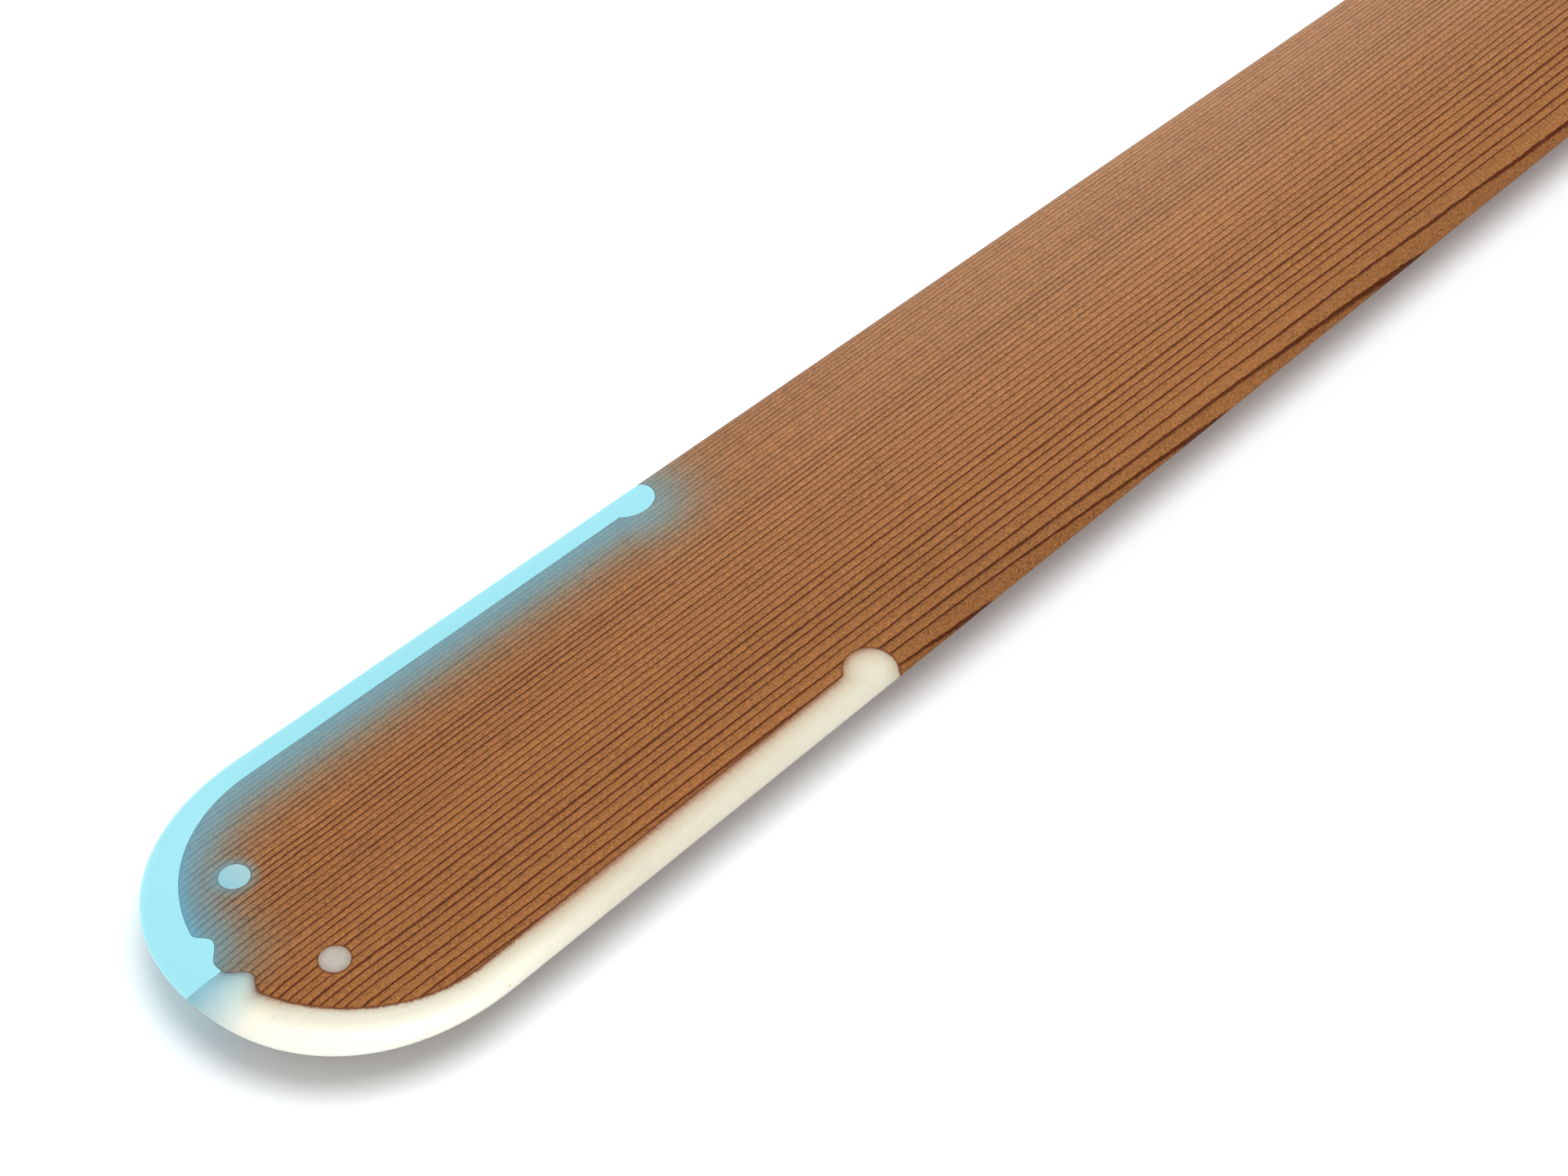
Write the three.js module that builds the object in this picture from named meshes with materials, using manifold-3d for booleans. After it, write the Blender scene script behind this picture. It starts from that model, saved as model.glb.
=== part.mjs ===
// Greenland paddle. One cedar board is carved to a narrow blade at each end of a rounded
// loom. A cast resin edge wraps each tip, held by round lobes that bite into the wood,
// and two resin plugs go through the blade near each tip.
// Millimetres, +Z up. X runs along the paddle and Y across its blades. The origin is in
// the middle of the loom's underside, on the surface that the paddle lies on.

import * as THREE from "three";
import { mergeVertices } from "three/addons/utils/BufferGeometryUtils.js";
import Module from "manifold-3d";

// Whole paddle and its loom, the round grip between the blades.
const paddle_length = 2200;
const loom_length = 500;
const loom_width = 38;
const loom_depth = 32;
const loom_flat_width = 14.6;
const loom_roundness_share = 2.6;
const shoulder_length = 90;

// Blades: straight tapered sides, a lens section and a thin rounded edge.
const blade_width = 92;
const blade_root_width = 56.5;
const blade_tip_thickness = 11.4;
const blade_root_thickness = 28;
const edge_thickness = 3.5;
const edge_rounding = 3.5;
const swell_start_share = 0.5;

// Rounded tip, a little fuller than an ellipse.
const tip_length = 49;
const tip_fullness_share = 2.2;
const side_crown_share = 2;
const tip_crown_share = 8;

// Cast resin edge, with a round lobe at each of its ends and two soft ones at the tip.
// Its inner line starts to round a little nearer the tip than the board's outline does.
const band_width = 7.2;
const band_tip_depth = 7.9;
const band_round_lead = 2.1;
const band_fullness_share = 1.97;
const band_end = 162.8;
const end_lobe_diameter = 12.8;
const end_lobe_inset = 3.8;
const tip_lobe_width = 10.8;
const tip_lobe_height = 3.15;
const tip_lobe_spacing = 12.6;
const tip_lobe_fullness_share = 2.6;

// Resin plugs through the blade.
const plug_diameter = 7;
const plug_spacing = 33;
const plug_set_back = 26.1;

// Clearance of each resin piece in the wood, and how far a cutter runs past what it cuts.
const cast_line = 0.3;
const cutter_overrun = 6;

// How finely the curved faces are divided.
const section_steps = 24;
const tip_steps = 12;
const blade_steps = 6;
const swell_steps = 8;
const shoulder_steps = 9;
const outline_steps = 96;
const lobe_sides = 36;
const plug_sides = 28;

// Places measured along one half of the paddle, from the tip inwards.
const half_length = paddle_length / 2;
const half_blade = blade_width / 2;
const blade_length = (paddle_length - loom_length) / 2;
const shoulder_start = blade_length - shoulder_length / 2;
const shoulder_end = blade_length + shoulder_length / 2;
const swell_start = blade_length * swell_start_share;

const wasm = await Module();
wasm.setup();

function between(from, to, share) {
  return from + (to - from) * share;
}

function smooth_share(value, start, end) {
  const share = Math.min(1, Math.max(0, (value - start) / (end - start)));
  return share * share * (3 - 2 * share);
}

// Half width of the blank at a distance from the tip: rounded tip, straight taper, then
// the shoulder down to the loom.
function half_width(from_tip) {
  if (from_tip < tip_length) {
    const left_share = 1 - from_tip / tip_length;
    return half_blade * (1 - left_share ** tip_fullness_share) ** (1 / tip_fullness_share);
  }
  const taper_share = (from_tip - tip_length) / (shoulder_start - tip_length);
  const taper = between(half_blade, blade_root_width / 2, taper_share);
  return between(taper, loom_width / 2, smooth_share(from_tip, shoulder_start, shoulder_end));
}

// Half thickness over the middle line.
function half_thickness(from_tip) {
  const taper_share = Math.max(0, (from_tip - tip_length) / (shoulder_start - tip_length));
  const taper = between(blade_tip_thickness / 2, blade_root_thickness / 2, taper_share);
  return between(taper, loom_depth / 2, smooth_share(from_tip, shoulder_start, shoulder_end));
}

// How far out a point lies, 0 on the middle line and 1 on the outline, and how much of
// that is along the paddle.
function outward_shares(from_tip, across_share) {
  if (from_tip >= tip_length) {
    return [Math.abs(across_share), 0];
  }
  const across = (Math.abs(across_share) * half_width(from_tip) / half_blade) ** tip_fullness_share;
  const along = (1 - from_tip / tip_length) ** tip_fullness_share;
  return [(across + along) ** (1 / tip_fullness_share), along / (across + along)];
}

// Height of the blade's face over its middle plane: a shallow crown that falls to the
// edge thickness, and rounds over at the outline. It stays flatter towards the tip.
function blade_height(from_tip, across_share) {
  const [out, along] = outward_shares(from_tip, across_share);
  const outward = Math.min(1, out);
  const reach = from_tip < tip_length ? half_blade : half_width(from_tip);
  const inset = (1 - outward) * reach;
  const power = between(side_crown_share, tip_crown_share, along);
  const crown = between(half_thickness(from_tip), edge_thickness / 2, outward ** power);
  const lean_share = Math.max(0, 1 - inset / edge_rounding);
  return crown * Math.sqrt(Math.max(0, 1 - lean_share ** 2));
}

// Height of the loom's face: a rounded rectangle with a planed flat above and below.
function loom_height(from_tip, across_share) {
  const power = loom_roundness_share;
  const flat_share = loom_flat_width / loom_width;
  const swell = (1 - flat_share ** power) ** (-1 / power);
  const round = Math.max(0, 1 - Math.abs(across_share) ** power) ** (1 / power);
  return half_thickness(from_tip) * Math.min(1, swell * round);
}

function face_height(from_tip, across_share) {
  const loom_share = smooth_share(from_tip, swell_start, shoulder_end);
  const blade = blade_height(from_tip, across_share);
  return between(blade, loom_height(from_tip, across_share), loom_share);
}

// Stations along one half, from just inside the tip to the start of the loom.
function half_stations() {
  const stations = [];
  for (let step = 1; step <= tip_steps; step += 1) {
    stations.push(tip_length * (1 - Math.cos((step / tip_steps) * Math.PI / 2)));
  }
  const runs = [
    [tip_length, swell_start, blade_steps],
    [swell_start, shoulder_start, swell_steps],
    [shoulder_start, shoulder_end, shoulder_steps],
  ];
  for (const [start, end, steps] of runs) {
    for (let step = 1; step <= steps; step += 1) {
      stations.push(between(start, end, step / steps));
    }
  }
  return stations;
}

// One closed ring of points round the blank at a station.
function section_ring(x, from_tip) {
  const ring = [];
  for (let step = 0; step < 2 * section_steps; step += 1) {
    const turn = (step / section_steps) * Math.PI;
    const across_share = Math.cos(turn);
    const rim = step % section_steps === 0;
    const height = rim ? 0 : face_height(from_tip, across_share) * Math.sign(Math.sin(turn));
    ring.push([x, half_width(from_tip) * across_share, height]);
  }
  return ring;
}

// The carved board before anything is cut from it, as one closed skin.
function blank_geometry() {
  const stations = half_stations();
  const rings = [];
  for (const from_tip of stations) {
    rings.push(section_ring(from_tip - half_length, from_tip));
  }
  for (const from_tip of [...stations].reverse()) {
    rings.push(section_ring(half_length - from_tip, from_tip));
  }
  const count = 2 * section_steps;
  const positions = rings.flat(2);
  const start_tip = rings.length * count;
  const end_tip = start_tip + 1;
  positions.push(-half_length, 0, 0, half_length, 0, 0);
  const triangles = [];
  for (let side = 0; side < count; side += 1) {
    const next = (side + 1) % count;
    triangles.push(start_tip, next, side);
    for (let ring = 0; ring < rings.length - 1; ring += 1) {
      const here = ring * count;
      const there = here + count;
      triangles.push(here + side, here + next, there + next);
      triangles.push(here + side, there + next, there + side);
    }
    const last = (rings.length - 1) * count;
    triangles.push(end_tip, last + side, last + next);
  }
  const geometry = new THREE.BufferGeometry();
  geometry.setAttribute("position", new THREE.Float32BufferAttribute(positions, 3));
  geometry.setIndex(triangles);
  return geometry;
}

// A closed geometry as a solid that can be joined and cut.
function solid(geometry) {
  const plain = geometry.clone();
  plain.deleteAttribute("normal");
  plain.deleteAttribute("uv");
  const merged = mergeVertices(plain);
  return new wasm.Manifold(new wasm.Mesh({
    numProp: 3,
    vertProperties: new Float32Array(merged.attributes.position.array),
    triVerts: new Uint32Array(merged.index.array),
  }));
}

// How far the soft lobes at the tip push the resin into the wood, at a place across it.
function lobe_push(across, clearance) {
  const reach = tip_lobe_width / 2 - clearance;
  const off_share = (Math.abs(across) - tip_lobe_spacing / 2) / reach;
  return tip_lobe_height * Math.max(0, 1 - off_share ** 2) ** tip_lobe_fullness_share;
}

// The outline of the wood inside the resin edges of both tips, grown by a clearance.
function wood_outline(clearance) {
  const reach = half_blade - band_width + clearance;
  const round_start = tip_length - band_round_lead;
  const depth = round_start - band_tip_depth + clearance;
  const end = band_end - clearance;
  const beyond = half_blade + cutter_overrun;
  const points = [];
  for (const side of [-1, 1]) {
    const place = (from_tip, across) => {
      points.push(new THREE.Vector2(side * (half_length - from_tip), -side * across));
    };
    place(end, -beyond);
    place(end, -(half_width(end) - band_width + clearance));
    for (let step = 0; step <= outline_steps; step += 1) {
      const turn = (step / outline_steps - 1 / 2) * Math.PI;
      const along = depth * Math.abs(Math.cos(turn)) ** (2 / band_fullness_share);
      const across = reach * Math.abs(Math.sin(turn)) ** (2 / band_fullness_share);
      place(round_start - along + lobe_push(across, clearance), across * Math.sign(turn));
    }
    place(end, half_width(end) - band_width + clearance);
    place(end, beyond);
  }
  return points;
}

// An upright prism through the whole thickness of the paddle.
function prism(points) {
  const depth = loom_depth + 2 * cutter_overrun;
  const shape = new THREE.Shape(points);
  const geometry = new THREE.ExtrudeGeometry(shape, { depth, bevelEnabled: false });
  geometry.translate(0, 0, -depth / 2);
  return solid(geometry);
}

// A round cutter or pin through the blade, placed from one of the tips.
function upright_pin(side, from_tip, across, diameter, sides) {
  const height = loom_depth + 2 * cutter_overrun;
  const geometry = new THREE.CylinderGeometry(diameter / 2, diameter / 2, height, sides);
  geometry.rotateX(Math.PI / 2);
  geometry.translate(side * (half_length - from_tip), across, 0);
  return solid(geometry);
}

// Everything inside the resin edges. The round lobes belong to the resin, so they are
// taken out of it, and shrink by the same clearance by which the outline grows.
function wood_core(clearance) {
  let core = prism(wood_outline(clearance));
  const across = half_width(band_end) - end_lobe_inset;
  const width = end_lobe_diameter - 2 * clearance;
  for (const side of [-1, 1]) {
    for (const hand of [-1, 1]) {
      core = core.subtract(upright_pin(side, band_end, hand * across, width, lobe_sides));
    }
  }
  return core;
}

// The end of the board that holds one resin edge.
function tip_block(side) {
  const length = band_end + end_lobe_diameter + cutter_overrun;
  const size = blade_width + 2 * cutter_overrun;
  const geometry = new THREE.BoxGeometry(length, size, size);
  geometry.translate(side * (half_length + cutter_overrun - length / 2), 0, 0);
  return solid(geometry);
}

// A solid back as a geometry with smooth enough facets for its own normals.
function geometry_of(manifold) {
  const mesh = manifold.getMesh();
  const geometry = new THREE.BufferGeometry();
  geometry.setAttribute("position", new THREE.BufferAttribute(mesh.vertProperties, mesh.numProp));
  geometry.setIndex(new THREE.BufferAttribute(mesh.triVerts, 1));
  geometry.computeVertexNormals();
  return geometry;
}

const cedar = { color: 0xa9713f, roughness: 0.6, metalness: 0 };
const cream_resin = { color: 0xede7d0, roughness: 0.35, metalness: 0 };

// Add one piece to the paddle, under its own name and with its own material.
const paddle = new THREE.Group();
function add_piece(name, manifold, finish) {
  const material = new THREE.MeshStandardMaterial(finish);
  material.name = name;
  const piece = new THREE.Mesh(geometry_of(manifold), material);
  piece.name = name;
  paddle.add(piece);
}

// Where the plugs go, and what each place is called.
const ends = [["near", -1], ["far", 1]];
const hands = [["right", -1], ["left", 1]];

// Cedar body: the carved board, less the resin edges and the plug holes.
const blank = solid(blank_geometry());
let body = blank.intersect(wood_core(0));
for (const [, side] of ends) {
  for (const [, hand] of hands) {
    const across = hand * plug_spacing / 2;
    body = body.subtract(upright_pin(side, plug_set_back, across, plug_diameter, plug_sides));
  }
}
add_piece("cedar_body", body, cedar);

// Resin edges and plugs, faired to the same faces as the wood.
const clear_core = wood_core(cast_line);
for (const [end_name, side] of ends) {
  const edge = blank.intersect(tip_block(side)).subtract(clear_core);
  add_piece(`resin_edge_${end_name}`, edge, cream_resin);
  for (const [hand_name, hand] of hands) {
    const across = hand * plug_spacing / 2;
    const width = plug_diameter - 2 * cast_line;
    const pin = upright_pin(side, plug_set_back, across, width, plug_sides);
    add_piece(`resin_plug_${end_name}_${hand_name}`, blank.intersect(pin), cream_resin);
  }
}

// The paddle lies on the underside of its loom.
const part = new THREE.Group();
paddle.position.z = loom_depth / 2;
part.add(paddle);

export default part;
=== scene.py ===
import math

import bpy
from mathutils import Matrix, Vector


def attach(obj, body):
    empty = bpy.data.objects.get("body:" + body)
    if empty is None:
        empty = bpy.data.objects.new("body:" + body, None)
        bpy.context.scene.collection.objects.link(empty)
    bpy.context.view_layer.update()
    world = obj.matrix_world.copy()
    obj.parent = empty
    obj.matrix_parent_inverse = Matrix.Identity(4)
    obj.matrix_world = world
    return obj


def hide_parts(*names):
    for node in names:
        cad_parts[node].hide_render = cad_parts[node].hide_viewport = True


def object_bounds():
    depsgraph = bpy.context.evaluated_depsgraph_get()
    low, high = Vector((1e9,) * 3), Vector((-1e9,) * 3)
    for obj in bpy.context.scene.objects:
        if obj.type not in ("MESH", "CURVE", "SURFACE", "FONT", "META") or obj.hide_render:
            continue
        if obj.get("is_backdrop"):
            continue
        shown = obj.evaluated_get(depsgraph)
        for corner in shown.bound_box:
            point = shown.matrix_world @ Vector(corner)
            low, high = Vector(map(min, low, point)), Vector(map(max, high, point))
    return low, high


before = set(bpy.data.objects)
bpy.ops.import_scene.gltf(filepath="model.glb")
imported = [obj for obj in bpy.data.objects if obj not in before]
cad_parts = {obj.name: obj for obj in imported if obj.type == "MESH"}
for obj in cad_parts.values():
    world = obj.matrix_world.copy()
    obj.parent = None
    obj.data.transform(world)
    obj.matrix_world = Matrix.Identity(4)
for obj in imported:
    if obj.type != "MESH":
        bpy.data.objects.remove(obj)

# A Greenland paddle: one cedar board with a narrow blade at each end of a rounded loom,
# a cast resin edge round each tip and two resin plugs through the blade behind it.
# Metres, in the frame of the model: X along the paddle, Y across it, Z up.
mm = 0.001
low_corner, high_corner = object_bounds()
half_length = high_corner.x
half_blade = high_corner.y
middle_height = (low_corner.z + high_corner.z) / 2


# The photographer stands beside one tip and looks down along the blade with a longish
# lens. The place is counted from that tip, at the height of the blade's middle plane.
camera_from_tip = Vector((-303.5, -536.2, 741.0)) * mm
camera_heading = math.radians(48.32)
camera_dip = math.radians(46.18)
camera_roll = math.radians(4.0)
camera_lens = 104.14
film_width = 36
nearest_seen = 0.05
farthest_seen = 100
quarter_turn = math.pi / 2

camera = bpy.data.objects.new("camera", bpy.data.cameras.new("camera"))
camera.data.lens = camera_lens
camera.data.sensor_width = film_width
camera.data.clip_start = nearest_seen
camera.data.clip_end = farthest_seen
look = Matrix.Rotation(camera_heading - quarter_turn, 4, "Z")
look = look @ Matrix.Rotation(quarter_turn - camera_dip, 4, "X")
look = look @ Matrix.Rotation(-camera_roll, 4, "Z")
tip_place = Vector((-half_length, 0, middle_height))
camera.matrix_world = Matrix.Translation(tip_place + camera_from_tip) @ look
bpy.context.collection.objects.link(camera)
bpy.context.scene.camera = camera
bpy.context.scene.view_settings.view_transform = "Standard"


# The studio: a white sheet under the paddle, a broad soft lamp high up on the camera's
# side, a weaker one low behind, and an even white room. The floor shows white but for the
# paddle's shadow, and is a little blue, which evens out the warm light off the wood there.
floor_reach = 30
floor_white = (0.91, 0.93, 0.945, 1)
floor_roughness = 0.5
floor_lift = 0.12
room_white = (1, 1, 1, 1)
room_light = 0.42
# Each lamp's name and strength, then its breadth, heading and height in degrees.
lamps = (("high_lamp", 2.05, 38, 299, 76), ("low_lamp", 0.8, 40, 50, 22))


def connect(tree, value, socket):
    """Puts a number, a colour or another node's output on a socket."""
    if isinstance(value, bpy.types.NodeSocket):
        tree.links.new(value, socket)
    else:
        socket.default_value = value


def add_node(tree, kind, settings=None, **inputs):
    """Adds a shader node. An input takes a number, a colour or another node's output."""
    node = tree.nodes.new(kind)
    for name, value in (settings or {}).items():
        setattr(node, name, value)
    for name, value in inputs.items():
        connect(tree, value, node.inputs[name.replace("_", " ")])
    return node


def maths(tree, operation, *values, clamp=False):
    """One sum in the shader, of numbers and outputs, and its result."""
    node = tree.nodes.new("ShaderNodeMath")
    node.operation = operation
    node.use_clamp = clamp
    for socket, value in zip(node.inputs, values):
        connect(tree, value, socket)
    return node.outputs[0]


def new_material(name):
    """A material with nothing in it but its output, and that output."""
    material = bpy.data.materials.new(name)
    material.use_nodes = True
    material.node_tree.nodes.clear()
    output = material.node_tree.nodes.new("ShaderNodeOutputMaterial")
    return material, material.node_tree, output


floor_mesh = bpy.data.meshes.new("floor")
floor_corners = [(-1, -1), (1, -1), (1, 1), (-1, 1)]
floor_mesh.from_pydata([(x * floor_reach, y * floor_reach, 0) for x, y in floor_corners], [],
                       [(0, 1, 2, 3)])
floor = bpy.data.objects.new("floor", floor_mesh)
bpy.context.collection.objects.link(floor)
sheet, tree, output = new_material("white_sheet")
matt = add_node(tree, "ShaderNodeBsdfDiffuse", Color=floor_white, Roughness=floor_roughness)
seen = add_node(tree, "ShaderNodeLightPath").outputs["Is Camera Ray"]
lift = add_node(tree, "ShaderNodeEmission", Strength=maths(tree, "MULTIPLY", seen, floor_lift))
both = tree.nodes.new("ShaderNodeAddShader")
tree.links.new(matt.outputs[0], both.inputs[0])
tree.links.new(lift.outputs[0], both.inputs[1])
tree.links.new(both.outputs[0], output.inputs["Surface"])
floor_mesh.materials.append(sheet)
floor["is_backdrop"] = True

world = bpy.data.worlds.new("room")
world.use_nodes = True
tree = world.node_tree
tree.nodes.clear()
output = tree.nodes.new("ShaderNodeOutputWorld")
path = add_node(tree, "ShaderNodeLightPath")
seen = maths(tree, "MAXIMUM", path.outputs["Is Camera Ray"], path.outputs["Is Transmission Ray"])
level = maths(tree, "MAXIMUM", seen, room_light)
room = add_node(tree, "ShaderNodeBackground", Color=room_white, Strength=level)
tree.links.new(room.outputs[0], output.inputs["Surface"])
bpy.context.scene.world = world

for name, strength, breadth, heading, height in lamps:
    lamp = bpy.data.objects.new(name, bpy.data.lights.new(name, "SUN"))
    lamp.data.energy = strength
    lamp.data.angle = math.radians(breadth)
    turn, rise = math.radians(heading), math.radians(height)
    toward_lamp = Vector((math.cos(turn) * math.cos(rise), math.sin(turn) * math.cos(rise),
                          math.sin(rise)))
    lamp.rotation_euler = toward_lamp.to_track_quat("Z", "Y").to_euler()
    bpy.context.collection.objects.link(lamp)


# The board: quarter-sawn western red cedar, planed and sanded to a lens section in the
# blades and to a rounded rectangle with two flats in the loom, then oiled. The same
# blank is the outer form of the resin edges and plugs, which are sanded flush with it.
loom_length = 500 * mm
loom_width = 38 * mm
loom_depth = 2 * middle_height
loom_flat_width = 14.6 * mm
loom_roundness = 2.6
shoulder_length = 90 * mm
blade_root_width = 56.5 * mm
blade_tip_thickness = 11.4 * mm
blade_root_thickness = 28 * mm
edge_thickness = 3.5 * mm
edge_rounding = 3.5 * mm
tip_length = 49 * mm
tip_fullness = 2.2
side_crown = 2
tip_crown = 8
section_steps = 72
tip_steps = 40
blade_steps = 70
shoulder_steps = 18
crisp_angle = math.radians(40)

blade_length = half_length - loom_length / 2
shoulder_start = blade_length - shoulder_length / 2
shoulder_end = blade_length + shoulder_length / 2
swell_start = blade_length / 2


def between(start, end, share):
    return start + (end - start) * share


def smooth_share(value, start, end):
    share = min(1, max(0, (value - start) / (end - start)))
    return share * share * (3 - 2 * share)


def half_width(from_tip):
    """Half the blank's width at a distance from the nearer tip."""
    if from_tip < tip_length:
        left = 1 - from_tip / tip_length
        return half_blade * (1 - left ** tip_fullness) ** (1 / tip_fullness)
    share = (from_tip - tip_length) / (shoulder_start - tip_length)
    taper = between(half_blade, blade_root_width / 2, share)
    return between(taper, loom_width / 2, smooth_share(from_tip, shoulder_start, shoulder_end))


def half_thickness(from_tip):
    """Half the blank's thickness over its middle line."""
    share = max(0, (from_tip - tip_length) / (shoulder_start - tip_length))
    taper = between(blade_tip_thickness / 2, blade_root_thickness / 2, share)
    return between(taper, loom_depth / 2, smooth_share(from_tip, shoulder_start, shoulder_end))


def blade_height(from_tip, across):
    """Height of the blade's face: a shallow crown, flatter at the tip, and a rounded edge."""
    outward = abs(across)
    reach = half_width(from_tip)
    power = side_crown
    if from_tip < tip_length:
        sideways = (outward * reach / half_blade) ** tip_fullness
        lengthways = (1 - from_tip / tip_length) ** tip_fullness
        outward = (sideways + lengthways) ** (1 / tip_fullness)
        power = between(side_crown, tip_crown, lengthways / (sideways + lengthways))
        reach = half_blade
    outward = min(1, outward)
    crown = between(half_thickness(from_tip), edge_thickness / 2, outward ** power)
    lean = max(0, 1 - (1 - outward) * reach / edge_rounding)
    return crown * math.sqrt(max(0, 1 - lean ** 2))


def loom_height(from_tip, across):
    """Height of the loom's face: a rounded rectangle with a planed flat."""
    flat = loom_flat_width / loom_width
    swell = (1 - flat ** loom_roundness) ** (-1 / loom_roundness)
    rounded = max(0, 1 - abs(across) ** loom_roundness) ** (1 / loom_roundness)
    return half_thickness(from_tip) * min(1, swell * rounded)


def face_height(from_tip, across):
    loom_share = smooth_share(from_tip, swell_start, shoulder_end)
    return between(blade_height(from_tip, across), loom_height(from_tip, across), loom_share)


def blank_mesh():
    """The carved board before anything is cut from it, as one closed skin."""
    stations = [tip_length * (1 - math.cos(step / tip_steps * quarter_turn))
                for step in range(1, tip_steps + 1)]
    for start, end, steps in ((tip_length, shoulder_start, blade_steps),
                              (shoulder_start, shoulder_end, shoulder_steps)):
        stations += [between(start, end, step / steps) for step in range(1, steps + 1)]
    rings = [(from_tip - half_length, from_tip) for from_tip in stations]
    rings += [(half_length - from_tip, from_tip) for from_tip in reversed(stations)]
    count = 2 * section_steps
    points = []
    for x, from_tip in rings:
        for step in range(count):
            across = math.cos(step / section_steps * math.pi)
            height = 0
            if step % section_steps:
                height = math.copysign(face_height(from_tip, across), section_steps - step)
            points.append((x, half_width(from_tip) * across, middle_height + height))
    faces = []
    for ring in range(len(rings) - 1):
        here, there = ring * count, (ring + 1) * count
        for side in range(count):
            after = (side + 1) % count
            faces.append((here + side, here + after, there + after, there + side))
    near_tip, last = len(points), (len(rings) - 1) * count
    far_tip = near_tip + 1
    points += [(-half_length, 0, middle_height), (half_length, 0, middle_height)]
    for side in range(count):
        after = (side + 1) % count
        faces.append((near_tip, after, side))
        faces.append((far_tip, last + side, last + after))
    mesh = bpy.data.meshes.new("blank")
    mesh.from_pydata(points, [], faces)
    return mesh


def shape(name, mesh):
    """An object of that mesh in the scene."""
    piece = bpy.data.objects.new(name, mesh)
    bpy.context.collection.objects.link(piece)
    return piece


def carve(piece, cutter, operation):
    """Cuts piece with the cutter, keeps the result in it and throws the cutter away."""
    cut = piece.modifiers.new("cut", "BOOLEAN")
    cut.operation = operation
    cut.object = cutter
    cut.solver = "MANIFOLD"
    depsgraph = bpy.context.evaluated_depsgraph_get()
    result = bpy.data.meshes.new_from_object(piece.evaluated_get(depsgraph))
    piece.modifiers.clear()
    piece.data = result
    bpy.data.objects.remove(cutter)


def finish_piece(piece, material, slot, *nodes):
    """Smooth faces and crisp cut edges, then its material and its place in the frame."""
    piece.data.materials.clear()
    piece.data.materials.append(material)
    piece.data.shade_smooth()
    piece.data.set_sharp_from_angle(angle=crisp_angle)
    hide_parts(*nodes)
    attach(piece, "root")


# Where the resin goes: a band round the tip that ends in a round lobe on each edge, and
# two soft lobes side by side at the very tip. Wood and resin are cut by one outline.
band_width = 7.2 * mm
band_tip_depth = 7.9 * mm
band_round_lead = 2.1 * mm
band_round_start = tip_length - band_round_lead
band_fullness = 1.97
band_end = 162.8 * mm
end_lobe_radius = 6.4 * mm
end_lobe_inset = 3.8 * mm
end_lobe_across = half_width(band_end) - end_lobe_inset
tip_lobe_reach = 5.4 * mm
tip_lobe_height = 3.15 * mm
tip_lobe_across = 6.3 * mm
tip_lobe_fullness = 2.6
plug_radius = 3.5 * mm
plug_across = 16.5 * mm
plug_set_back = 26.1 * mm
glue_line = 0.02 * mm
outline_steps = 400
lobe_sides = 96
cutter_height = 60 * mm
cutter_overrun = 6 * mm


def upright_prism(name, outline):
    """A closed upright prism over an outline, through the whole thickness."""
    count = len(outline)
    points = []
    for level in (-1, 1):
        height = middle_height + level * cutter_height / 2
        points += [(x, y, height) for x, y in outline]
    faces = [tuple(reversed(range(count))), tuple(range(count, 2 * count))]
    for side in range(count):
        after = (side + 1) % count
        faces.append((side, after, count + after, count + side))
    mesh = bpy.data.meshes.new(name)
    mesh.from_pydata(points, [], faces)
    return shape(name, mesh)


def upright_pin(end, from_tip, across, radius):
    """A round upright cutter, placed from one of the tips."""
    centre = end * (half_length - from_tip)
    turns = [side / lobe_sides * 2 * math.pi for side in range(lobe_sides)]
    return upright_prism("pin", [(centre + radius * math.cos(turn),
                                  across + radius * math.sin(turn)) for turn in turns])


def lobe_push(across, clearance):
    """How far the soft lobes at the tip push the resin into the wood."""
    off = (abs(across) - tip_lobe_across) / (tip_lobe_reach - clearance)
    return tip_lobe_height * max(0, 1 - off ** 2) ** tip_lobe_fullness


def wood_core(clearance):
    """All that lies inside the resin edges of both tips, grown by a clearance."""
    reach = half_blade - band_width + clearance
    depth = band_round_start - band_tip_depth + clearance
    end = band_end - clearance
    beyond = half_blade + cutter_overrun
    shoulder = half_width(end) - band_width + clearance
    outline = []
    for tip in (-1, 1):
        places = [(end, -beyond), (end, -shoulder)]
        for step in range(outline_steps + 1):
            turn = (step / outline_steps - 0.5) * math.pi
            along = depth * abs(math.cos(turn)) ** (2 / band_fullness)
            across = reach * abs(math.sin(turn)) ** (2 / band_fullness)
            from_tip = band_round_start - along + lobe_push(across, clearance)
            places.append((from_tip, math.copysign(across, turn)))
        places += [(end, shoulder), (end, beyond)]
        outline += [(tip * (half_length - from_tip), tip * y) for from_tip, y in places]
    core = upright_prism("core", outline)
    for tip in (-1, 1):
        for hand in (-1, 1):
            carve(core, upright_pin(tip, band_end, hand * end_lobe_across,
                                    end_lobe_radius - clearance), "DIFFERENCE")
    return core


body = shape("cedar_board", blank_mesh())
carve(body, wood_core(0), "INTERSECT")
for tip in (-1, 1):
    for hand in (-1, 1):
        carve(body, upright_pin(tip, plug_set_back, hand * plug_across, plug_radius),
              "DIFFERENCE")


# How oiled cedar looks: straight growth rings along the board, each a pale spring band
# that darkens slowly to a thin dark autumn line and ends sharply there. The board is cut
# along the tree's radius, so the rings stand upright in it, wider towards the -Y edge.

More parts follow.
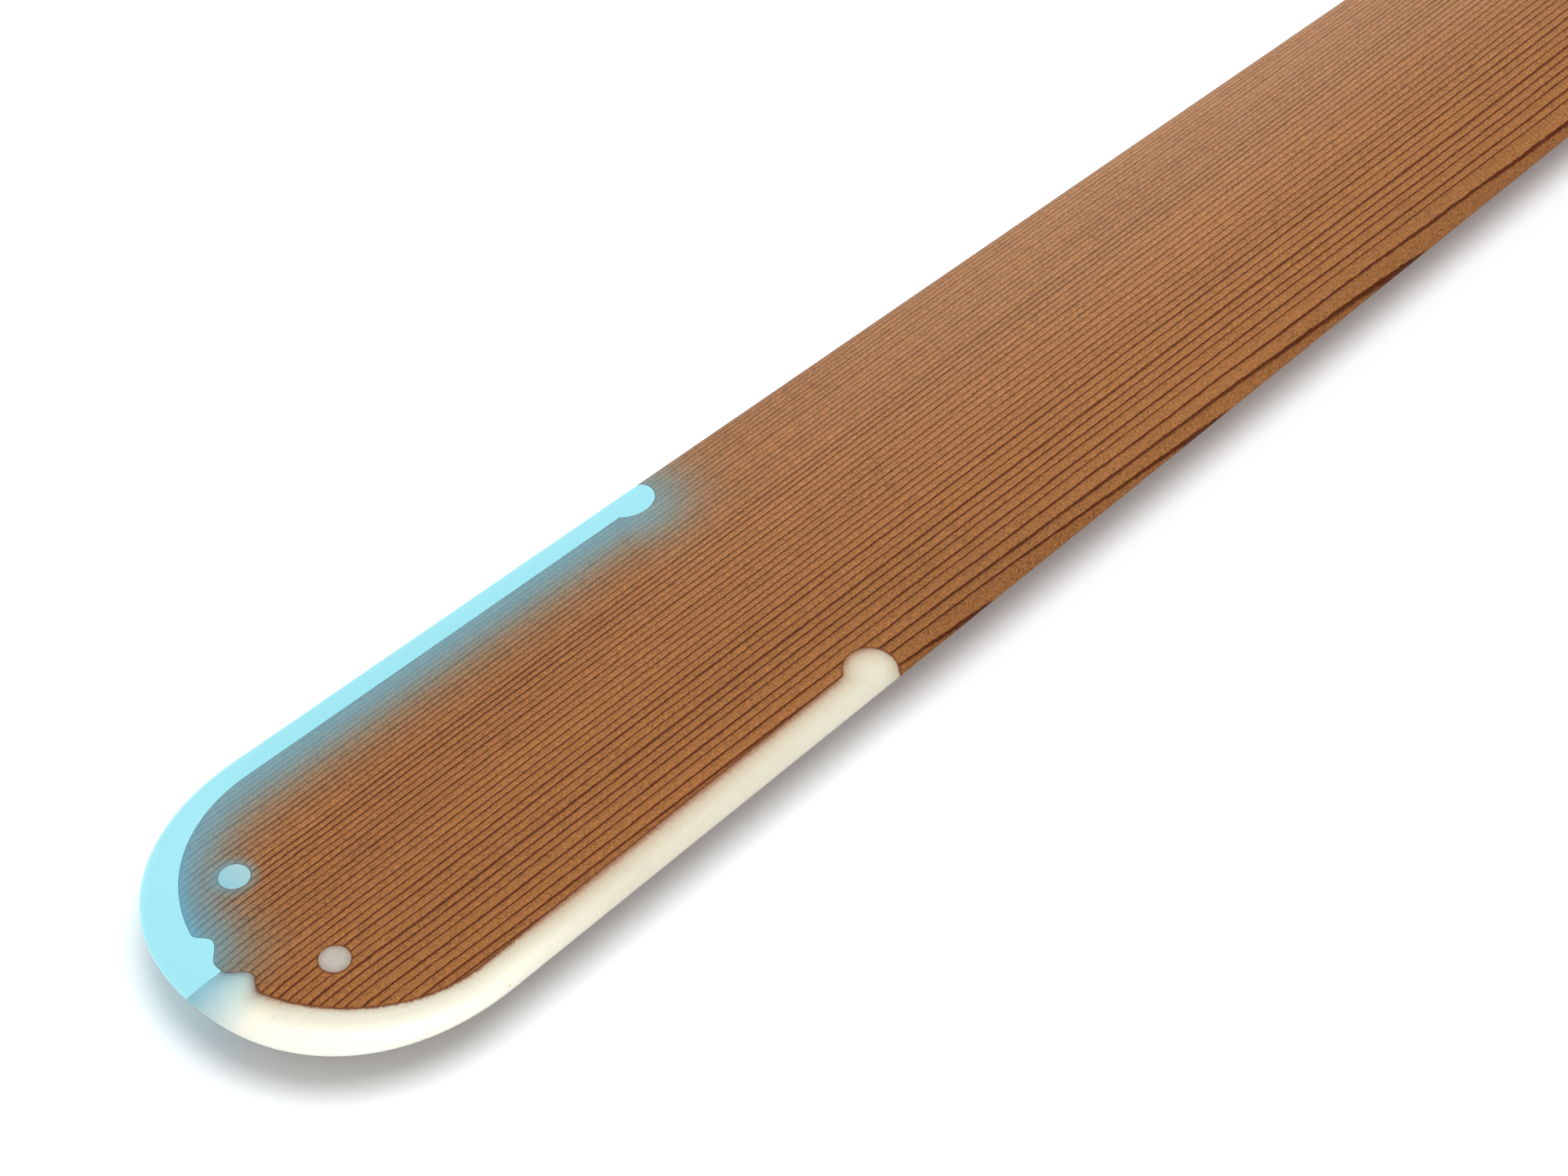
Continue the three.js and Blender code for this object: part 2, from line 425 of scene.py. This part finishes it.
# The colours. The blue of the haze is the light of the glowing resin beside the wood, painted on
# it.
spring_colour = (0.314, 0.127, 0.040, 1)
autumn_colour = (0.078, 0.014, 0.003, 1)
foxy_colour = (0.295, 0.110, 0.031, 1)
pale_and_sheen_colour = (0.402, 0.191, 0.081, 1)
seam_colour = (0.150, 0.042, 0.014, 1)
smear_colour = (0.50, 0.34, 0.20, 1)
haze_colour = (0.106, 0.432, 0.658, 1)
eye_gamma = 2.2

# The rings: where the tree's middle was and how wide they are, in millimetres, and how
# dark their lines are.
pith_across = -150
pith_above = 12
rings_per_mm = 0.575
rings_gain = 0.00173
ring_pace = 0.8
ring_unevenness = 0.5
spread_edge = -32
spread_start = 30
spread_length = 740
line_width = 0.34
line_fade = 0.17
line_back = 0.1
summer_darkness = 0.30
line_strength = 0.76
line_by_year = 0.22
line_by_patch = 0.34

# Grains, each by its length, width and depth in millimetres, fineness and roughness.
sway_grain = (300, 90, 60, 1, 0.5)
wobble_grain = (30, 7, 7, 2, 0.5)
ruffle_grain = (3.0, 1.1, 1.1, 2, 0.6)
patch_grain = (14, 1.6, 1.6, 3, 0.6)
fibre_grain = (11, 0.32, 0.32, 3, 0.6)
pore_grain = (1.1, 0.33, 0.33, 2, 0.6)
speckle_grain = (0.65, 0.42, 0.42, 2, 0.7)
fleck_grain = (2.4, 9, 9, 2, 0.5)
cloud_grain = (85, 15, 15, 2, 0.5)
char_grain = (1.2, 0.8, 0.8, 3, 0.6)

# How far the grains move the lines and the scorched cut, in millimetres.
sway_breadth = 4.0
wobble_breadth = 0.45
ruffle_breadth = 0.34
char_raggedness = 0.9

# How much the grains lighten and darken the wood, and how far it grows paler, partly with
# a painted sheen.
fibre_contrast = 0.34
pore_contrast = 0.30
cloud_contrast = 0.3
speckle_contrast = 2.2
speckle_middle = 0.48
foxy_share = 0.5
pale_and_sheen_share = 0.9
line_paling = 0.26

# Where a look sets in: two places in millimetres, and its strength at the one and the other.
fleck_across = (-5, 38, 0.06, 0.32)
edge_line_across = (-28, -34, 0, 0.05)
painted_edge_shade_across = (-35.5, -37.5, 1, 0.9)
pale_and_sheen_along = (60, 330, 0.1, 1)
pale_and_sheen_across = (-36, 22, 0.12, 1)
line_across = (12, 30, 1, 0.86)
seam_depth = (-0.55, -0.15, 0, 0.85)
smear_depth = (0.0, 0.2, 0, 0.6)
haze_reach = 10.7
haze_across = (-14, 8, 0, 0.65)
haze_along = (184, 150, 0.52, 1)
haze_on_lines = (20, 60, 0.1, 0.45)
plug_light_depth = (-3.4, 0.0, 0, 0.34)
plug_light_across = (-1, 1, 0, 1)
close_light_depth = (-3.5, 0, 0, 0.12)
close_light_along = (34, 12, 0, 1)
close_light_across = (-6, 4, 0, 1)
lobe_blend = 5.0

# The oiled surface, with its relief in millimetres.
wood_gloss = 0.16
wood_gloss_tint = (1, 0.72, 0.45, 1)
wood_roughness = 0.44
fibre_roughness = 0.16
line_ridge = 0.02
fibre_relief = 0.012


def times(tree, first, *others):
    """The product of numbers and outputs."""
    for value in others:
        first = maths(tree, "MULTIPLY", first, value)
    return first


def plus(tree, first, *others):
    """The sum of numbers and outputs."""
    for value in others:
        first = maths(tree, "ADD", first, value)
    return first


def minus(tree, first, second):
    return maths(tree, "SUBTRACT", first, second)


def swing(tree, noise, breadth, middle=0.5):
    """A noise as a swing to both sides of 0."""
    return times(tree, minus(tree, noise, middle), breadth)


def mix_colours(tree, share, first, second, mode="MIX"):
    """Two colours mixed by a share, and the result. The node's sockets for colours are its
    inputs 6 and 7 and its output 2."""
    node = tree.nodes.new("ShaderNodeMix")
    node.data_type = "RGBA"
    node.blend_type = mode
    connect(tree, share, node.inputs[0])
    connect(tree, first, node.inputs[6])
    connect(tree, second, node.inputs[7])
    return node.outputs[2]


def grey(tree, value):
    """The colour whose three parts are one value."""
    return add_node(tree, "ShaderNodeCombineXYZ", X=value, Y=value, Z=value).outputs[0]


def ease(tree, value, start, end, low=0, high=1):
    """A smooth step from low to high as value goes from start to end."""
    node = add_node(tree, "ShaderNodeMapRange", {"interpolation_type": "SMOOTHSTEP"}, Value=value)
    for name, number in (("From Min", start), ("From Max", end), ("To Min", low), ("To Max", high)):
        node.inputs[name].default_value = number
    return node.outputs["Result"]


def grain_noise(tree, place, grain):
    """Noise in grains of that length, width, depth, fineness and roughness."""
    *sizes, fineness, roughness = grain
    x, y, z = [maths(tree, "DIVIDE", value, size) for value, size in zip(place, sizes)]
    where = add_node(tree, "ShaderNodeCombineXYZ", X=x, Y=y, Z=z).outputs[0]
    noise = add_node(tree, "ShaderNodeTexNoise", Vector=where, Scale=1.0, Detail=fineness,
                     Roughness=roughness)
    return noise.outputs["Fac"]


def place_on_paddle(tree):
    """X, Y and height over the middle plane, in millimetres, then the distance from the
    nearer tip and from the middle line."""
    where = add_node(tree, "ShaderNodeTexCoord").outputs["Object"]
    parts = add_node(tree, "ShaderNodeSeparateXYZ", Vector=where)
    x = maths(tree, "DIVIDE", parts.outputs["X"], mm)
    y = maths(tree, "DIVIDE", parts.outputs["Y"], mm)
    z = maths(tree, "DIVIDE", minus(tree, parts.outputs["Z"], middle_height), mm)
    from_tip = minus(tree, half_length / mm, maths(tree, "ABSOLUTE", x))
    return x, y, z, from_tip, maths(tree, "ABSOLUTE", y)


def round_depth(tree, from_tip, across, centre_from_tip, centre_across, radius):
    """How deep a place lies inside a round lobe or plug, in millimetres."""
    along = minus(tree, from_tip, centre_from_tip / mm)
    aside = minus(tree, across, centre_across / mm)
    squares = plus(tree, times(tree, along, along), times(tree, aside, aside))
    return minus(tree, radius / mm, maths(tree, "SQRT", squares))


def plug_depth(tree, from_tip, across):
    return round_depth(tree, from_tip, across, plug_set_back, plug_across, plug_radius)


def end_lobe_depth(tree, from_tip, across):
    return round_depth(tree, from_tip, across, band_end, end_lobe_across, end_lobe_radius)


def band_depth(tree, from_tip, across):
    """How far a place lies outside the band's inner line, in millimetres."""
    narrowing = (half_blade - half_width(band_end)) / (band_end - band_round_start)
    before = minus(tree, band_round_start / mm, from_tip)
    past = times(tree, maths(tree, "MINIMUM", before, 0), narrowing)
    reach = plus(tree, past, (half_blade - band_width) / mm)
    sideways = maths(tree, "DIVIDE", across, reach)
    lengthways = maths(tree, "DIVIDE", maths(tree, "MAXIMUM", before, 0),
                       (band_round_start - band_tip_depth) / mm)
    powers = plus(tree, maths(tree, "POWER", sideways, band_fullness),
                  maths(tree, "POWER", lengthways, band_fullness))
    outward = minus(tree, maths(tree, "POWER", powers, 1 / band_fullness), 1)
    return times(tree, outward, (half_blade - band_width) / mm)


def lobed_band_depth(tree, from_tip, across):
    """The same for the inner line with the two soft lobes at the tip."""
    off = maths(tree, "DIVIDE", minus(tree, across, tip_lobe_across / mm), tip_lobe_reach / mm)
    inside = maths(tree, "SUBTRACT", 1.0, times(tree, off, off), clamp=True)
    push = times(tree, maths(tree, "POWER", inside, tip_lobe_fullness), tip_lobe_height / mm)
    return band_depth(tree, minus(tree, from_tip, push), across)


def edge_depth(tree, from_tip, across, depth_in_band):
    """How deep a place lies in a resin edge with that band: less than 0 in the wood."""
    before_end = minus(tree, band_end / mm, from_tip)
    band = maths(tree, "MINIMUM", depth_in_band(tree, from_tip, across), before_end)
    return maths(tree, "MAXIMUM", band, end_lobe_depth(tree, from_tip, across))


def soft_edge_depth(tree, from_tip, across):
    """The same, but with the band running softly into its end lobe."""
    into_lobe = plus(tree, minus(tree, band_end / mm, from_tip), end_lobe_radius / mm)
    band = maths(tree, "MINIMUM", lobed_band_depth(tree, from_tip, across), into_lobe)
    return maths(tree, "SMOOTH_MAX", band, end_lobe_depth(tree, from_tip, across), lobe_blend)


cedar, tree, output = new_material("oiled_cedar")
x, y, z, from_tip, across = place_on_paddle(tree)

# The growth lines sway a little along the board.
straight = (x, y, z)
sway = swing(tree, grain_noise(tree, straight, sway_grain), sway_breadth)
wobble = swing(tree, grain_noise(tree, straight, wobble_grain), wobble_breadth)
ruffle = swing(tree, grain_noise(tree, straight, ruffle_grain), ruffle_breadth)
swayed = plus(tree, y, sway, wobble, ruffle)

# Near the -Y edge the face slants more, and spreads the lines the more the thicker the
# blade is.
slant = maths(tree, "DIVIDE", minus(tree, from_tip, spread_start), spread_length, clamp=True)
beyond = maths(tree, "MAXIMUM", minus(tree, spread_edge, y), 0)
swayed = plus(tree, swayed, times(tree, beyond, slant))
along_lines = (x, swayed, z)

# Each ring is counted out from the tree's middle, and no two are equally far apart.
aside = minus(tree, swayed, pith_across)
above = minus(tree, z, pith_above)
squares = plus(tree, times(tree, aside, aside), times(tree, above, above))
radius = minus(tree, maths(tree, "SQRT", squares), math.hypot(pith_across, pith_above))
rings = times(tree, radius, plus(tree, times(tree, radius, rings_gain), rings_per_mm))
uneven = add_node(tree, "ShaderNodeTexNoise", {"noise_dimensions": "1D"}, W=rings,
                  Scale=ring_pace, Detail=1.0).outputs["Fac"]
rings = plus(tree, rings, times(tree, uneven, ring_unevenness))
year = add_node(tree, "ShaderNodeTexWhiteNoise", {"noise_dimensions": "1D"},
                W=maths(tree, "FLOOR", rings)).outputs["Value"]
grown = maths(tree, "FRACT", rings)
rings_here = plus(tree, times(tree, radius, 2 * rings_gain), rings_per_mm)
to_line = maths(tree, "DIVIDE", minus(tree, 1.0, grown), rings_here)
past_line = maths(tree, "DIVIDE", grown, rings_here)
line = ease(tree, to_line, line_width + line_fade, line_width - line_fade)
line = maths(tree, "MAXIMUM", line, ease(tree, past_line, line_back, 0))
line = maths(tree, "MAXIMUM", line, times(tree, grown, grown, summer_darkness))
patchy = grain_noise(tree, along_lines, patch_grain)
strength = plus(tree, times(tree, year, line_by_year), line_strength,
                times(tree, patchy, line_by_patch), ease(tree, y, *edge_line_across))
line = maths(tree, "MULTIPLY", line, strength, clamp=True)

# Fibres, short pores and cross-grain flecks lie inside the bands.
fibres = grain_noise(tree, along_lines, fibre_grain)
pores = grain_noise(tree, along_lines, pore_grain)
flecks = grain_noise(tree, along_lines, fleck_grain)
clouds = grain_noise(tree, along_lines, cloud_grain)
speckles = grain_noise(tree, straight, speckle_grain)
# The grains tone the wood; the last term is painted shade, darker along the rounded -Y edge.
shade = plus(tree, swing(tree, fibres, fibre_contrast), swing(tree, pores, pore_contrast),
             swing(tree, flecks, ease(tree, y, *fleck_across)),
             swing(tree, clouds, cloud_contrast),
             swing(tree, speckles, speckle_contrast, speckle_middle),
             ease(tree, y, *painted_edge_shade_across))
colour = mix_colours(tree, times(tree, clouds, foxy_share), spring_colour, foxy_colour)
# Towards the loom and the +Y side the wood grows paler, and a painted sheen lightens and greys it
# there; its lines fade.
paleness_and_sheen = times(tree, ease(tree, from_tip, *pale_and_sheen_along), ease(tree, y, *pale_and_sheen_across))
colour = mix_colours(tree, times(tree, paleness_and_sheen, pale_and_sheen_share), colour, pale_and_sheen_colour)
line = times(tree, line, minus(tree, ease(tree, y, *line_across), times(tree, paleness_and_sheen, line_paling)))

# The glowing half of the resin lights the wood blue; that light is painted on as a blue haze, which
# pales the lines.
plain_depth = edge_depth(tree, from_tip, across, band_depth)
away = maths(tree, "DIVIDE", maths(tree, "MINIMUM", plain_depth, 0), haze_reach)
haze = maths(tree, "EXPONENT", times(tree, away, away, -1.0))
haze = times(tree, haze, ease(tree, y, *haze_across), ease(tree, from_tip, *haze_along))
under_haze = times(tree, haze, ease(tree, from_tip, *haze_on_lines))
line = times(tree, line, minus(tree, 1.0, under_haze))
colour = mix_colours(tree, line, colour, autumn_colour)
colour = mix_colours(tree, 1.0, colour, grey(tree, shade), "MULTIPLY")

# A thin dark scorched line follows the cut for the resin, a little ragged.
in_edge = edge_depth(tree, from_tip, across, lobed_band_depth)
in_plug = plug_depth(tree, from_tip, across)
cut = plus(tree, maths(tree, "MAXIMUM", in_edge, in_plug),
           swing(tree, grain_noise(tree, straight, char_grain), char_raggedness))
colour = mix_colours(tree, ease(tree, cut, *seam_depth), colour, seam_colour)
colour = mix_colours(tree, ease(tree, cut, *smear_depth), colour, smear_colour)

# More of that painted light lies close to the tip and round the glowing plug. It is mixed
# in as the eye sees it.
plug_light = times(tree, ease(tree, in_plug, *plug_light_depth),
                   ease(tree, y, *plug_light_across))
close_light = times(tree, ease(tree, plain_depth, *close_light_depth),
                    ease(tree, from_tip, *close_light_along),
                    ease(tree, y, *close_light_across))
haze = plus(tree, haze, close_light)
haze = plus(tree, haze, times(tree, plug_light, minus(tree, 1.0, haze)))
as_seen = add_node(tree, "ShaderNodeGamma", Color=colour, Gamma=1 / eye_gamma).outputs[0]
haze_as_seen = [part ** (1 / eye_gamma) for part in haze_colour]
as_seen = mix_colours(tree, haze, as_seen, haze_as_seen)
colour = add_node(tree, "ShaderNodeGamma", Color=as_seen, Gamma=eye_gamma).outputs[0]

relief = plus(tree, times(tree, line, line_ridge), times(tree, fibres, fibre_relief),
              times(tree, pores, fibre_relief))
bump = add_node(tree, "ShaderNodeBump", Height=relief, Strength=1.0, Distance=mm)
roughness = plus(tree, times(tree, fibres, fibre_roughness), wood_roughness)
surface = add_node(tree, "ShaderNodeBsdfPrincipled", Base_Color=colour, Roughness=roughness,
                   Normal=bump.outputs[0], Specular_IOR_Level=wood_gloss,
                   Specular_Tint=wood_gloss_tint)
tree.links.new(surface.outputs[0], output.inputs["Surface"])
finish_piece(body, cedar, "cedar", "cedar_body")


# The resin edges: cream casting resin that glows in the dark, poured into the cut round
# each tip and sanded flush. It is clearest, and so darkest, where it thins out over the
# wood. The +Y half of each edge is painted as in the dark, nearly black with a painted
# glow; the -Y half shows its cream by day.

# The cream by its depth, as a share of the depth at which it is full.
cream_stops = [(0.0, (0.34, 0.14, 0.06, 1)), (0.06, (0.39, 0.20, 0.11, 1)),
               (0.12, (0.46, 0.29, 0.18, 1)), (0.19, (0.55, 0.42, 0.30, 1)),
               (0.27, (0.60, 0.50, 0.37, 1)), (0.42, (0.67, 0.60, 0.46, 1)),
               (0.68, (0.71, 0.67, 0.53, 1)), (1.0, (0.76, 0.73, 0.60, 1))]
cream_depth = 7.0
# A painted highlight: towards the tip the cream is painted nearly white.
tip_highlight_cream = (0.93, 0.925, 0.80, 1)
thin_tip_highlight_cream = (0.93, 0.905, 0.71, 1)
speck_colour = (0.50, 0.40, 0.22, 1)
dusk_colour = (0.16, 0.475, 0.585, 1)
night_colour = (0.03, 0.07, 0.08, 1)
glow_colour = (0.308, 0.805, 0.903, 1)
glow_strength = 0.83

# Grains, and how much each of them does.
brim_grain = (0.9, 0.9, 0.9, 3, 0.65)
brim_raggedness = 1.3
resin_cloud_grain = (6, 4, 4, 3, 0.5)
resin_cloud = 0.08
resin_mottle_grain = (0.6, 0.6, 0.6, 2, 0.7)
resin_mottle = 0.16
resin_base = 0.88
sanding_grain = (0.8, 0.8, 0.8, 3, 0.5)
sanding_depth = 0.02 * mm
sanding_strength = 0.5
specks_per_mm = 0.22
speck_edge = (0.09, 0.03)
speck_rarity = 0.72
speck_share = 0.55

# Where a look sets in: two places in millimetres, and its strength at the one and the other.
brim_depth = (-0.1, 0.14, 0.9, 0)
thicker_along = (75, 18, 0, 3)
thicker_across = (6, 30, 0, 1)
tip_highlight_inset_across = (8, 22, 0, 1.6)
tip_highlight_along = (90, 15, 0, 1)
tip_highlight_depth = (0, 5, 0, 1)
tip_highlight_across = (4, 26, 0.7, 1)
full_tip_highlight_depth = (3.0, 6.3, 0, 1)
dusk_along = (60, 30, 0, 1)
dusk_depth = (0, 3.5, 0.8, 1)
painted_rim_light_height = (5.3, 1.5, 0, 0.2)
glow_lift_along = (5, 75, 0.093, 0)

# The border between the two halves, in millimetres, and how it leans over the rim.
dusk_breadth = 14.4
dusk_overlap = 0.8
night_edge = -0.8
night_softness = 0.12
night_height = 4.6
night_lean = 0.62

# The sanded surface and the light inside it.
resin_gloss = 0.3
resin_roughness = 0.30
sanding_roughness = 0.12
resin_cloudiness = 0.6
light_reach = 3.0 * mm
light_by_colour = (1.0, 0.85, 0.65)


def ramp(tree, share, stops):
    """A curve of colours over a share."""
    node = add_node(tree, "ShaderNodeValToRGB", Fac=share)
    marks = node.color_ramp.elements
    while len(marks) < len(stops):
        marks.new(0.5)
    for mark, (position, colour) in zip(marks, stops):
        mark.position = position
        mark.color = colour
    return node.outputs["Color"]


resin, tree, output = new_material("cast_resin")
x, y, z, from_tip, across = place_on_paddle(tree)
place = (x, y, z)
depth = edge_depth(tree, from_tip, across, lobed_band_depth)
soft_depth = soft_edge_depth(tree, from_tip, across)
ragged = swing(tree, grain_noise(tree, place, brim_grain), brim_raggedness)
thicker = times(tree, ease(tree, from_tip, *thicker_along), ease(tree, across, *thicker_across))
thick = times(tree, plus(tree, soft_depth, ragged), plus(tree, thicker, 1))
colour = ramp(tree, maths(tree, "DIVIDE", thick, cream_depth), cream_stops)
brim = ease(tree, plus(tree, depth, ragged), *brim_depth)
colour = mix_colours(tree, brim, colour, seam_colour)
# Painted highlight: near the tip, well inside the band, the cream is painted whiter, more yellow
# where it is shallower.
tip_highlight = minus(tree, soft_depth, ease(tree, across, *tip_highlight_inset_across))
tip_highlight = times(tree, ease(tree, from_tip, *tip_highlight_along), ease(tree, tip_highlight, *tip_highlight_depth),
               ease(tree, across, *tip_highlight_across))
tip_highlight_look = mix_colours(tree, ease(tree, soft_depth, *full_tip_highlight_depth), thin_tip_highlight_cream,
                          tip_highlight_cream)
colour = mix_colours(tree, tip_highlight, colour, tip_highlight_look)
cloud = plus(tree, times(tree, grain_noise(tree, place, resin_cloud_grain), resin_cloud),
             resin_base,
             times(tree, grain_noise(tree, place, resin_mottle_grain), resin_mottle))
colour = mix_colours(tree, 1.0, colour, grey(tree, cloud), "MULTIPLY")

# Here and there a dark speck of dust is cast in.
where = add_node(tree, "ShaderNodeCombineXYZ", X=x, Y=y, Z=z).outputs[0]
specks = add_node(tree, "ShaderNodeTexVoronoi", Vector=where, Scale=specks_per_mm,
                  Randomness=1.0)
chance = add_node(tree, "ShaderNodeSeparateColor", Color=specks.outputs["Color"]).outputs[0]
speck = times(tree, ease(tree, specks.outputs["Distance"], *speck_edge),
              maths(tree, "GREATER_THAN", chance, speck_rarity), speck_share)
colour = mix_colours(tree, speck, colour, speck_colour)

# The blue light of the glow is painted a little way into the cream half. Past the border,
# which leans over the rim, the cream is painted nearly black for the dark, and a painted
# glow is emitted there.
dusk = maths(tree, "DIVIDE", plus(tree, y, dusk_breadth), dusk_breadth + dusk_overlap, clamp=True)
dusk = times(tree, dusk, ease(tree, from_tip, *dusk_along), ease(tree, soft_depth, *dusk_depth))
colour = mix_colours(tree, dusk, colour, dusk_colour)
leaned = plus(tree, y, times(tree, minus(tree, z, night_height), night_lean))
night = ease(tree, leaned, night_edge - night_softness, night_edge + night_softness)
colour = mix_colours(tree, night, colour, night_colour)
# Painted light: on the day half near the tip the cream's rim glows a little low down, where it
# rounds away from the lamps.
painted_rim_light = grey(tree, times(tree, tip_highlight, ease(tree, z, *painted_rim_light_height)))
lifted = mix_colours(tree, 1.0, glow_colour, grey(tree, ease(tree, from_tip, *glow_lift_along)),
                     "ADD")
glow = mix_colours(tree, night, painted_rim_light, lifted)

sanding = grain_noise(tree, place, sanding_grain)
bump = add_node(tree, "ShaderNodeBump", Height=sanding, Strength=sanding_strength,
                Distance=sanding_depth)
roughness = plus(tree, times(tree, sanding, sanding_roughness), resin_roughness)
surface = add_node(tree, "ShaderNodeBsdfPrincipled", Base_Color=colour, Roughness=roughness,
                   Normal=bump.outputs[0], Specular_IOR_Level=resin_gloss,
                   Subsurface_Weight=resin_cloudiness, Subsurface_Scale=light_reach,
                   Subsurface_Radius=light_by_colour,
                   Emission_Color=glow, Emission_Strength=glow_strength)
tree.links.new(surface.outputs[0], output.inputs["Surface"])

for tip, name in ((-1, "near"), (1, "far")):
    edge = shape("resin_edge_of_" + name + "_tip", blank_mesh())
    carve(edge, wood_core(glue_line), "DIFFERENCE")
    inner = half_length - band_end - end_lobe_radius - cutter_overrun
    outer = half_length + cutter_overrun
    ends = sorted((tip * inner, tip * outer))
    aside = half_blade + cutter_overrun
    block = [(ends[0], -aside), (ends[1], -aside), (ends[1], aside), (ends[0], aside)]
    carve(edge, upright_prism("block", block), "INTERSECT")
    finish_piece(edge, resin, "edge_resin", "resin_edge_" + name)


# The plugs: the same resin in drilled holes, a little greyer, and darker towards the
# wood round them. The ones in the glowing half are painted nearly black with a painted
# glow, which is painted bluer on the side of the tip as the light of the band.
plug_colour = (0.475, 0.435, 0.38, 1)
plug_rim_colour = (0.34, 0.275, 0.225, 1)
plug_night_colour = (0.12, 0.16, 0.17, 1)
plug_glow_colour = (0.275, 0.51, 0.53, 1)
plug_glow_outer_colour = (0.18, 0.46, 0.555, 1)
unlit_colour = (0, 0, 0, 1)
plug_glow_strength = 0.9
plug_rim_depth = (2.0, -0.3, 0, 1)
plug_rim_raggedness = 0.5
plug_cloud_grain = (1.4, 1.4, 1.4, 3, 0.5)
plug_cloud = 0.30
plug_mottle_grain = (0.3, 0.3, 0.3, 1, 0.5)
plug_mottle = 0.20
plug_base = 0.75
plug_roughness = 0.36

plug_resin, tree, output = new_material("plug_resin")
x, y, z, from_tip, across = place_on_paddle(tree)
place = (x, y, z)
cloud = grain_noise(tree, place, plug_cloud_grain)
rim = plus(tree, plug_depth(tree, from_tip, across), swing(tree, cloud, plug_rim_raggedness))
colour = mix_colours(tree, ease(tree, rim, *plug_rim_depth), plug_colour, plug_rim_colour)
cloud = plus(tree, times(tree, cloud, plug_cloud), plug_base,
             times(tree, grain_noise(tree, place, plug_mottle_grain), plug_mottle))
colour = mix_colours(tree, 1.0, colour, grey(tree, cloud), "MULTIPLY")
night = maths(tree, "GREATER_THAN", y, 0)
colour = mix_colours(tree, night, colour, plug_night_colour)
# The glow is painted bluer towards the tip, as the light of the glowing band.
outward = ease(tree, from_tip, (plug_set_back + plug_radius) / mm,
               (plug_set_back - plug_radius) / mm)
glow = mix_colours(tree, outward, plug_glow_colour, plug_glow_outer_colour)
glow = mix_colours(tree, night, unlit_colour, glow)
bump = add_node(tree, "ShaderNodeBump", Height=grain_noise(tree, place, sanding_grain),
                Strength=sanding_strength, Distance=sanding_depth)
surface = add_node(tree, "ShaderNodeBsdfPrincipled", Base_Color=colour,
                   Roughness=plug_roughness, Normal=bump.outputs[0],
                   Specular_IOR_Level=resin_gloss,
                   Emission_Color=glow, Emission_Strength=plug_glow_strength)
tree.links.new(surface.outputs[0], output.inputs["Surface"])

for tip, name in ((-1, "near"), (1, "far")):
    for hand, side in ((-1, "right"), (1, "left")):
        plug = shape("resin_plug_of_" + name + "_" + side, blank_mesh())
        carve(plug, upright_pin(tip, plug_set_back, hand * plug_across,
                                plug_radius - glue_line), "INTERSECT")
        finish_piece(plug, plug_resin, "plug_resin", "resin_plug_" + name + "_" + side)


low_corner, high_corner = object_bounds()
